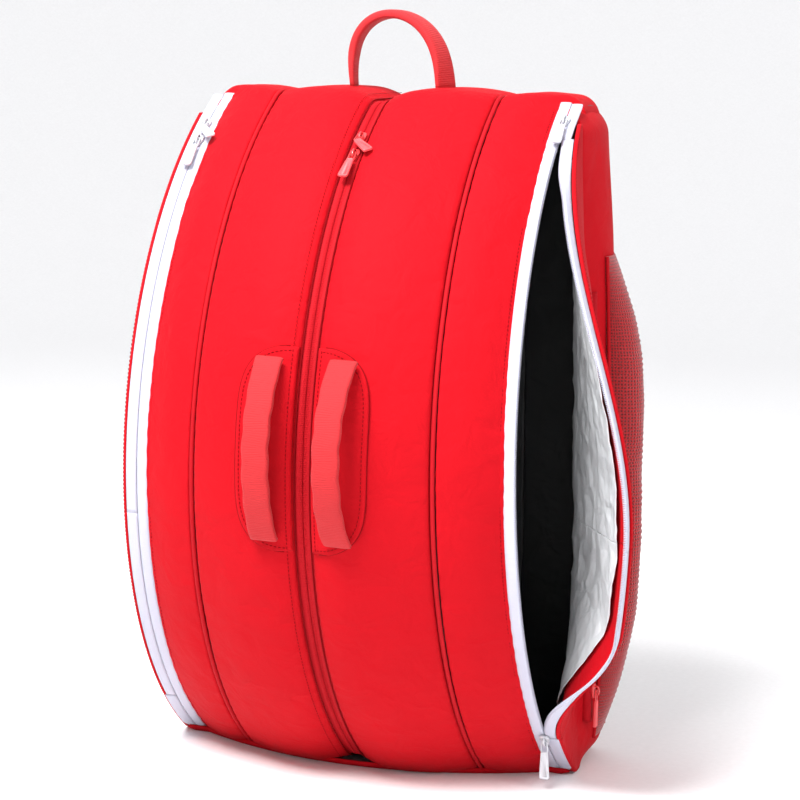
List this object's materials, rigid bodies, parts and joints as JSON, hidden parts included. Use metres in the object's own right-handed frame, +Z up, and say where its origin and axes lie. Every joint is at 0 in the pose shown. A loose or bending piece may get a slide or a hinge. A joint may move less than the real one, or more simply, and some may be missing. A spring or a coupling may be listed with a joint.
{
  "type": "racket tournament bag",
  "caption": "Upright three-compartment racket bag with curved zipped front, hinged side flaps, grab handles, carry loop, side pocket and shoulder straps.",
  "frame": {"origin": "middle of the bounding box on the plane that the bag stands on", "axes": "+Z up, -Y the curved zipped front, +Y the carrying back, +X the side that stands open"},
  "size_m": [0.465, 0.3954, 0.675],
  "materials": {
    "red_polyester": "matt woven",
    "red_webbing": "matt ribbed",
    "dark_red_trim": "matt",
    "red_ribbed_mesh": "matt ribbed",
    "white_zip_tape": "matt woven",
    "white_zip_metal": "gloss",
    "white_pull_rubber": "matt",
    "red_zip_metal": "gloss",
    "red_pull_rubber": "matt",
    "silver_lining": "soft metallic",
    "black_lining": "matt",
    "black_spacer_mesh": "matt mesh",
    "black_acetal": "satin"
  },
  "bodies": {
    "bag": {"front_left_panel": "red_polyester", "left_gusset": "red_polyester", "front_right_panel": "red_polyester", "right_gusset": "red_polyester", "left_piping": "dark_red_trim", "right_piping": "dark_red_trim", "centre_zip_tape_left": "dark_red_trim", "left_zip_tape_inner": "white_zip_tape", "left_zip_tape_tail": "white_zip_tape", "centre_zip_tape_right": "dark_red_trim", "right_zip_tape_inner": "white_zip_tape", "right_zip_tape_tail": "white_zip_tape", "left_side_panel": "red_polyester", "right_side_panel": "red_polyester", "back_panel": "red_polyester", "back_pad": "black_spacer_mesh", "base_panel": "red_polyester", "top_panel": "red_polyester", "left_divider": "black_lining", "right_divider": "black_lining", "left_handle_patch": "red_polyester", "right_handle_patch": "red_polyester", "top_loop_anchor_left": "red_polyester", "top_loop_anchor_right": "red_polyester", "strap_yoke": "red_polyester", "left_webbing_anchor": "red_polyester", "right_webbing_anchor": "red_polyester", "side_pocket": "red_ribbed_mesh", "pocket_zip_tape": "red_polyester"},
    "left_flap": {"left_flap": "red_polyester", "left_zip_tape_outer": "white_zip_tape", "left_flap_lining": "silver_lining"},
    "right_flap": {"right_flap": "red_polyester", "right_zip_tape_outer": "white_zip_tape", "right_flap_lining": "silver_lining"},
    "left_upper_slider": {"left_upper_slider": "white_zip_metal"},
    "left_upper_pull": {"left_upper_pull": "white_pull_rubber"},
    "left_lower_slider": {"left_lower_slider": "white_zip_metal"},
    "left_lower_pull": {"left_lower_pull": "white_pull_rubber"},
    "centre_upper_slider": {"centre_upper_slider": "red_zip_metal"},
    "centre_upper_pull": {"centre_upper_pull": "red_pull_rubber"},
    "centre_lower_slider": {"centre_lower_slider": "red_zip_metal"},
    "centre_lower_pull": {"centre_lower_pull": "red_pull_rubber"},
    "right_upper_slider": {"right_upper_slider": "white_zip_metal"},
    "right_upper_pull": {"right_upper_pull": "white_pull_rubber"},
    "right_lower_slider": {"right_lower_slider": "white_zip_metal"},
    "right_lower_pull": {"right_lower_pull": "white_pull_rubber"},
    "pocket_slider": {"pocket_slider": "red_zip_metal"},
    "pocket_pull": {"pocket_pull": "red_pull_rubber"},
    "left_grab_handle": {"left_grab_handle": "red_webbing"},
    "right_grab_handle": {"right_grab_handle": "red_webbing"},
    "top_loop": {"top_loop": "red_webbing"},
    "left_strap": {"left_shoulder_strap": "black_spacer_mesh", "left_strap_webbing": "black_spacer_mesh"},
    "left_buckle": {"left_buckle": "black_acetal"},
    "right_strap": {"right_shoulder_strap": "black_spacer_mesh", "right_strap_webbing": "black_spacer_mesh"},
    "right_buckle": {"right_buckle": "black_acetal"}
  },
  "joints": [
    {"name": "left_flap_fold", "type": "hinge", "parent": "bag", "child": "left_flap", "pos_m": [-0.22213, 0.05673, 0.088], "axis": [-0.023, 0.0101, -0.9997], "range_deg": [0, 31]},
    {"name": "right_flap_fold", "type": "hinge", "parent": "bag", "child": "right_flap", "pos_m": [0.15485, 0.05673, 0.088], "axis": [-0.023, -0.0101, 0.9997], "range_deg": [-31, 0]},
    {"name": "left_upper_slider_travel", "type": "hinge", "parent": "bag", "child": "left_upper_slider", "pos_m": [-0.20352, 0.24473, 0.293], "axis": [0.9997, 0, -0.023], "range_deg": [-4, 0]},
    {"name": "left_upper_pull_swing", "type": "hinge", "parent": "left_upper_slider", "child": "left_upper_pull", "pos_m": [-0.19721, 0.02484, 0.57043], "axis": [-0.9997, 0, 0.023], "range_deg": [0, 150]},
    {"name": "left_lower_slider_travel", "type": "hinge", "parent": "bag", "child": "left_lower_slider", "pos_m": [-0.20352, 0.24473, 0.293], "axis": [0.9997, 0, -0.023], "range_deg": [0, 91.5]},
    {"name": "left_lower_pull_swing", "type": "hinge", "parent": "left_lower_slider", "child": "left_lower_pull", "pos_m": [-0.19753, 0.00785, 0.55607], "axis": [-0.9997, 0, 0.023], "range_deg": [0, 70]},
    {"name": "centre_upper_slider_travel", "type": "hinge", "parent": "bag", "child": "centre_upper_slider", "pos_m": [-0.03364, 0.19473, 0.293], "axis": [1, 0, 0], "range_deg": [-4, 0]},
    {"name": "centre_upper_pull_swing", "type": "hinge", "parent": "centre_upper_slider", "child": "centre_upper_pull", "pos_m": [-0.03364, -0.02062, 0.56471], "axis": [-1, 0, 0], "range_deg": [0, 150]},
    {"name": "centre_lower_slider_travel", "type": "hinge", "parent": "bag", "child": "centre_lower_slider", "pos_m": [-0.03364, 0.19473, 0.293], "axis": [1, 0, 0], "range_deg": [0, 92]},
    {"name": "centre_lower_pull_swing", "type": "hinge", "parent": "centre_lower_slider", "child": "centre_lower_pull", "pos_m": [-0.03364, -0.03726, 0.55065], "axis": [-1, 0, 0], "range_deg": [0, 70]},
    {"name": "right_upper_slider_travel", "type": "hinge", "parent": "bag", "child": "right_upper_slider", "pos_m": [0.13623, 0.24473, 0.293], "axis": [0.9997, 0, 0.023], "range_deg": [-2, 1]},
    {"name": "right_upper_pull_swing", "type": "hinge", "parent": "right_upper_slider", "child": "right_upper_pull", "pos_m": [0.12965, 0.04067, 0.58227], "axis": [-0.9997, 0, -0.023], "range_deg": [0, 150]},
    {"name": "right_lower_slider_travel", "type": "hinge", "parent": "bag", "child": "right_lower_slider", "pos_m": [0.13623, 0.24473, 0.293], "axis": [0.9997, 0, 0.023], "range_deg": [-91.5, 0]},
    {"name": "right_lower_pull_swing", "type": "hinge", "parent": "right_lower_slider", "child": "right_lower_pull", "pos_m": [0.14192, -0.00608, 0.04318], "axis": [-0.9997, 0, -0.023], "range_deg": [-44, 105]},
    {"name": "pocket_slider_run", "type": "slide", "parent": "bag", "child": "pocket_slider", "axis": [-0.023, 0, 0.9997], "range_m": [0, 0.33]},
    {"name": "pocket_pull_swing", "type": "hinge", "parent": "pocket_slider", "child": "pocket_pull", "pos_m": [0.16908, 0.06773, 0.074], "axis": [0, -1, 0], "range_deg": [0, 150]},
    {"name": "left_grab_handle_swing", "type": "hinge", "parent": "bag", "child": "left_grab_handle", "pos_m": [-0.07164, -0.15268, 0.19198], "axis": [0, -0.0346, 0.9994], "range_deg": [-20, 20]},
    {"name": "right_grab_handle_swing", "type": "hinge", "parent": "bag", "child": "right_grab_handle", "pos_m": [0.00436, -0.15268, 0.19198], "axis": [0, -0.0346, 0.9994], "range_deg": [-20, 20]},
    {"name": "top_loop_fold", "type": "hinge", "parent": "bag", "child": "top_loop", "pos_m": [-0.03364, 0.08273, 0.607], "axis": [1, 0, 0], "range_deg": [-65, 65]},
    {"name": "left_strap_swing", "type": "hinge", "parent": "bag", "child": "left_strap", "pos_m": [-0.14564, 0.15373, 0.052], "axis": [0.1146, 0.0233, 0.9931], "range_deg": [-9, 9]},
    {"name": "left_buckle_tilt", "type": "hinge", "parent": "left_strap", "child": "left_buckle", "pos_m": [-0.11764, 0.16473, 0.211], "axis": [1, 0, 0], "range_deg": [0, 25]},
    {"name": "right_strap_swing", "type": "hinge", "parent": "bag", "child": "right_strap", "pos_m": [0.07836, 0.15373, 0.052], "axis": [-0.1146, 0.0233, 0.9931], "range_deg": [-9, 9]},
    {"name": "right_buckle_tilt", "type": "hinge", "parent": "right_strap", "child": "right_buckle", "pos_m": [0.05036, 0.16473, 0.211], "axis": [1, 0, 0], "range_deg": [0, 25]}
  ],
  "couplings": [
    {"joint": "left_lower_slider_travel", "follows": "left_flap_fold", "ratio": 2.95},
    {"joint": "right_lower_slider_travel", "follows": "right_flap_fold", "ratio": 2.95}
  ]
}
